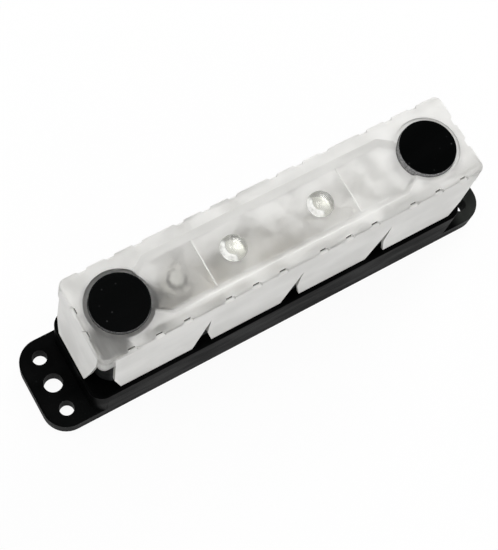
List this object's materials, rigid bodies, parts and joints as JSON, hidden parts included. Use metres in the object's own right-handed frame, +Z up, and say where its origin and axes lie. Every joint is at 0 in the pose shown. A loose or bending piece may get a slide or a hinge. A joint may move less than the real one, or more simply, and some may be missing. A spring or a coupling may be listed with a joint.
{
  "type": "bus bar",
  "caption": "Covered stud bus bar: black moulded base with screw flanges and end posts, tinned bar on studs, frosted snap-over cover with break-out flaps.",
  "frame": {"origin": "middle of the base's underside", "axes": "+X along the bar, to the right seen from the front; +Y towards the back; +Z up, out of the mounting surface"},
  "size_m": [0.1774, 0.0334, 0.0644],
  "materials": {
    "black_moulding": "fine-grained black moulding, satin sheen",
    "tinned_bar": "tin-plated copper, dull silver",
    "stud_steel": "plain turned stainless steel",
    "washer_steel": "stamped stainless steel",
    "spring_steel": "darker spring steel",
    "nut_steel": "bright stainless steel",
    "frosted_cover": "frosted translucent plastic, polished at the two domes"
  },
  "bodies": {
    "base_body": {"base": "black_moulding", "bus_bar": "tinned_bar", "stud_1": "stud_steel", "stud_2": "stud_steel", "stud_3": "stud_steel", "stud_4": "stud_steel", "flat_washer_1": "washer_steel", "flat_washer_2": "washer_steel", "flat_washer_3": "washer_steel", "flat_washer_4": "washer_steel", "spring_washer_1": "spring_steel", "spring_washer_2": "spring_steel", "spring_washer_3": "spring_steel", "spring_washer_4": "spring_steel"},
    "nut_1_body": {"nut_1": "nut_steel"},
    "nut_2_body": {"nut_2": "nut_steel"},
    "nut_3_body": {"nut_3": "nut_steel"},
    "nut_4_body": {"nut_4": "nut_steel"},
    "cover_body": {"cover": "frosted_cover"}
  },
  "joints": [
    {"name": "cover_lift", "type": "slide", "parent": "base_body", "child": "cover_body", "axis": [0, 0, 1], "range_m": [0, 0.045]},
    {"name": "nut_1_turn", "type": "hinge", "parent": "base_body", "child": "nut_1_body", "pos_m": [-0.0366, 0, 0.0514], "axis": [0, 0, 1], "continuous": true},
    {"name": "nut_2_turn", "type": "hinge", "parent": "base_body", "child": "nut_2_body", "pos_m": [-0.0162, 0, 0.0514], "axis": [0, 0, 1], "continuous": true},
    {"name": "nut_3_turn", "type": "hinge", "parent": "base_body", "child": "nut_3_body", "pos_m": [0.0162, 0, 0.0514], "axis": [0, 0, 1], "continuous": true},
    {"name": "nut_4_turn", "type": "hinge", "parent": "base_body", "child": "nut_4_body", "pos_m": [0.0366, 0, 0.0514], "axis": [0, 0, 1], "continuous": true}
  ]
}
